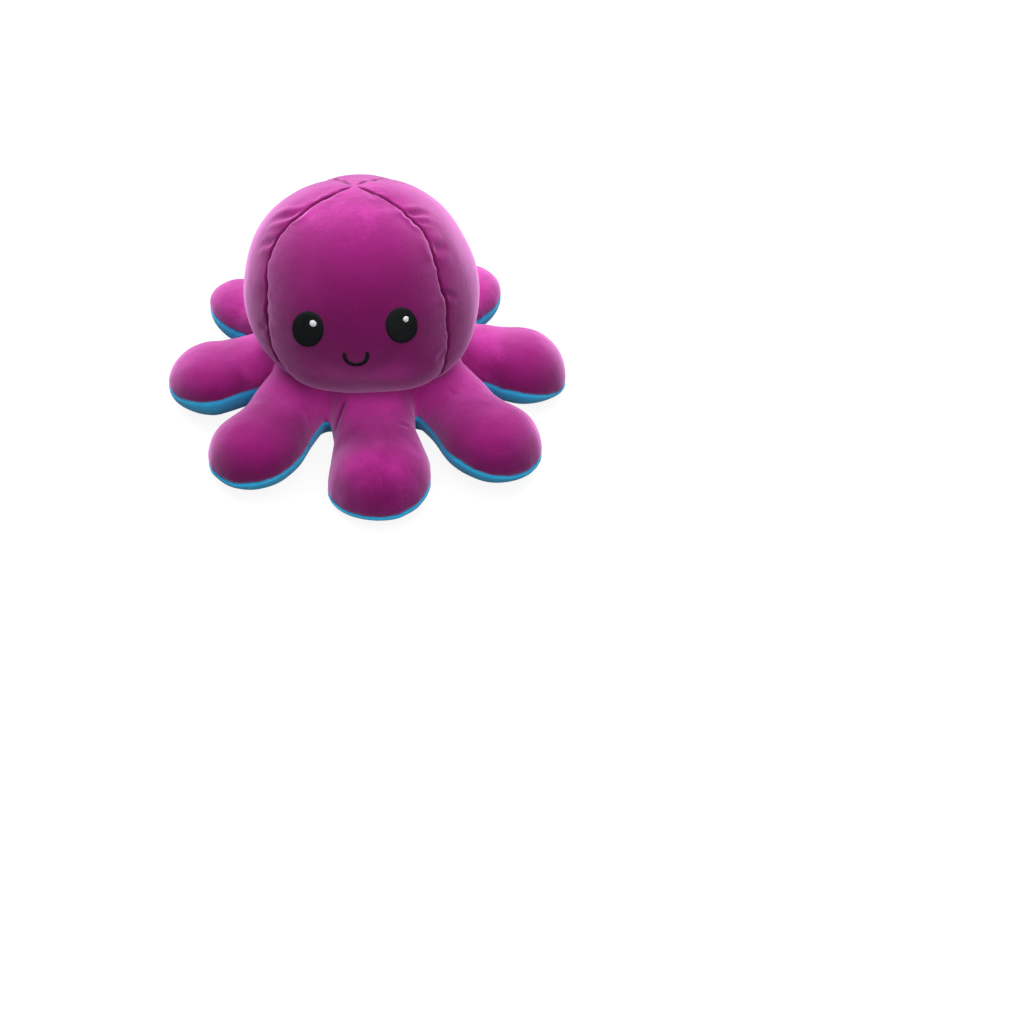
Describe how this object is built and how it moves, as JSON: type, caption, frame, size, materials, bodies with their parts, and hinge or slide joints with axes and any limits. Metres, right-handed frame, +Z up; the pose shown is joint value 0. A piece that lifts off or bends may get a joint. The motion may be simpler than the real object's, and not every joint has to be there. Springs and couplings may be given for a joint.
{
  "type": "reversible plush octopus",
  "caption": "Soft plush octopus with a round head and a ring of stubby arms that bend at their roots. It has a pocket under the head and turns inside out to a second face.",
  "frame": {"origin": "on the floor under the middle of the ring of arms", "axes": "+Z up through the head, the face towards -Y, arm 1 along -Y and the others in turn at 45 degrees, towards +X first"},
  "size_m": [0.1909, 0.197, 0.1175],
  "materials": {
    "purple_plush": "short velour pile, matte with a pale sheen at the edges",
    "blue_plush": "short velour pile, matte with a pale sheen at the edges",
    "stuffing": "white fibre fill",
    "black_thread": "satin stitch, slightly shiny",
    "white_thread": "satin stitch, slightly shiny"
  },
  "bodies": {
    "body": {"head_front_panel": "purple_plush", "head_left_panel": "purple_plush", "head_back_panel": "purple_plush", "head_right_panel": "purple_plush", "lining_front_panel": "blue_plush", "lining_left_panel": "blue_plush", "lining_back_panel": "blue_plush", "lining_right_panel": "blue_plush", "skirt_top": "purple_plush", "skirt_underside": "blue_plush", "body_stuffing": "stuffing", "eye_left": "black_thread", "eye_right": "black_thread", "eye_glint_left": "white_thread", "eye_glint_right": "white_thread", "smile": "black_thread", "lining_eye_left": "black_thread", "lining_eye_right": "black_thread", "lining_glint_left": "white_thread", "lining_glint_right": "white_thread", "frown": "black_thread"},
    "arm_1": {"arm_1_top": "purple_plush", "arm_1_sole": "blue_plush", "arm_1_stuffing": "stuffing"},
    "arm_2": {"arm_2_top": "purple_plush", "arm_2_sole": "blue_plush", "arm_2_stuffing": "stuffing"},
    "arm_3": {"arm_3_top": "purple_plush", "arm_3_sole": "blue_plush", "arm_3_stuffing": "stuffing"},
    "arm_4": {"arm_4_top": "purple_plush", "arm_4_sole": "blue_plush", "arm_4_stuffing": "stuffing"},
    "arm_5": {"arm_5_top": "purple_plush", "arm_5_sole": "blue_plush", "arm_5_stuffing": "stuffing"},
    "arm_6": {"arm_6_top": "purple_plush", "arm_6_sole": "blue_plush", "arm_6_stuffing": "stuffing"},
    "arm_7": {"arm_7_top": "purple_plush", "arm_7_sole": "blue_plush", "arm_7_stuffing": "stuffing"},
    "arm_8": {"arm_8_top": "purple_plush", "arm_8_sole": "blue_plush", "arm_8_stuffing": "stuffing"}
  },
  "joints": [
    {"name": "arm_1_lift", "type": "hinge", "parent": "body", "child": "arm_1", "pos_m": [0, -0.046, 0.015], "axis": [-1, 0, 0], "range_deg": [-30, 45], "stiffness_Nm_per_rad": 0.02},
    {"name": "arm_2_lift", "type": "hinge", "parent": "body", "child": "arm_2", "pos_m": [0.03253, -0.03253, 0.015], "axis": [-0.7071, -0.7071, 0], "range_deg": [-30, 45], "stiffness_Nm_per_rad": 0.02},
    {"name": "arm_3_lift", "type": "hinge", "parent": "body", "child": "arm_3", "pos_m": [0.046, 0, 0.015], "axis": [0, -1, 0], "range_deg": [-30, 45], "stiffness_Nm_per_rad": 0.02},
    {"name": "arm_4_lift", "type": "hinge", "parent": "body", "child": "arm_4", "pos_m": [0.03253, 0.03253, 0.015], "axis": [0.7071, -0.7071, 0], "range_deg": [-30, 45], "stiffness_Nm_per_rad": 0.02},
    {"name": "arm_5_lift", "type": "hinge", "parent": "body", "child": "arm_5", "pos_m": [0, 0.046, 0.015], "axis": [1, 0, 0], "range_deg": [-30, 45], "stiffness_Nm_per_rad": 0.02},
    {"name": "arm_6_lift", "type": "hinge", "parent": "body", "child": "arm_6", "pos_m": [-0.03253, 0.03253, 0.015], "axis": [0.7071, 0.7071, 0], "range_deg": [-30, 45], "stiffness_Nm_per_rad": 0.02},
    {"name": "arm_7_lift", "type": "hinge", "parent": "body", "child": "arm_7", "pos_m": [-0.046, 0, 0.015], "axis": [0, 1, 0], "range_deg": [-30, 45], "stiffness_Nm_per_rad": 0.02},
    {"name": "arm_8_lift", "type": "hinge", "parent": "body", "child": "arm_8", "pos_m": [-0.03253, -0.03253, 0.015], "axis": [-0.7071, 0.7071, 0], "range_deg": [-30, 45], "stiffness_Nm_per_rad": 0.02}
  ]
}
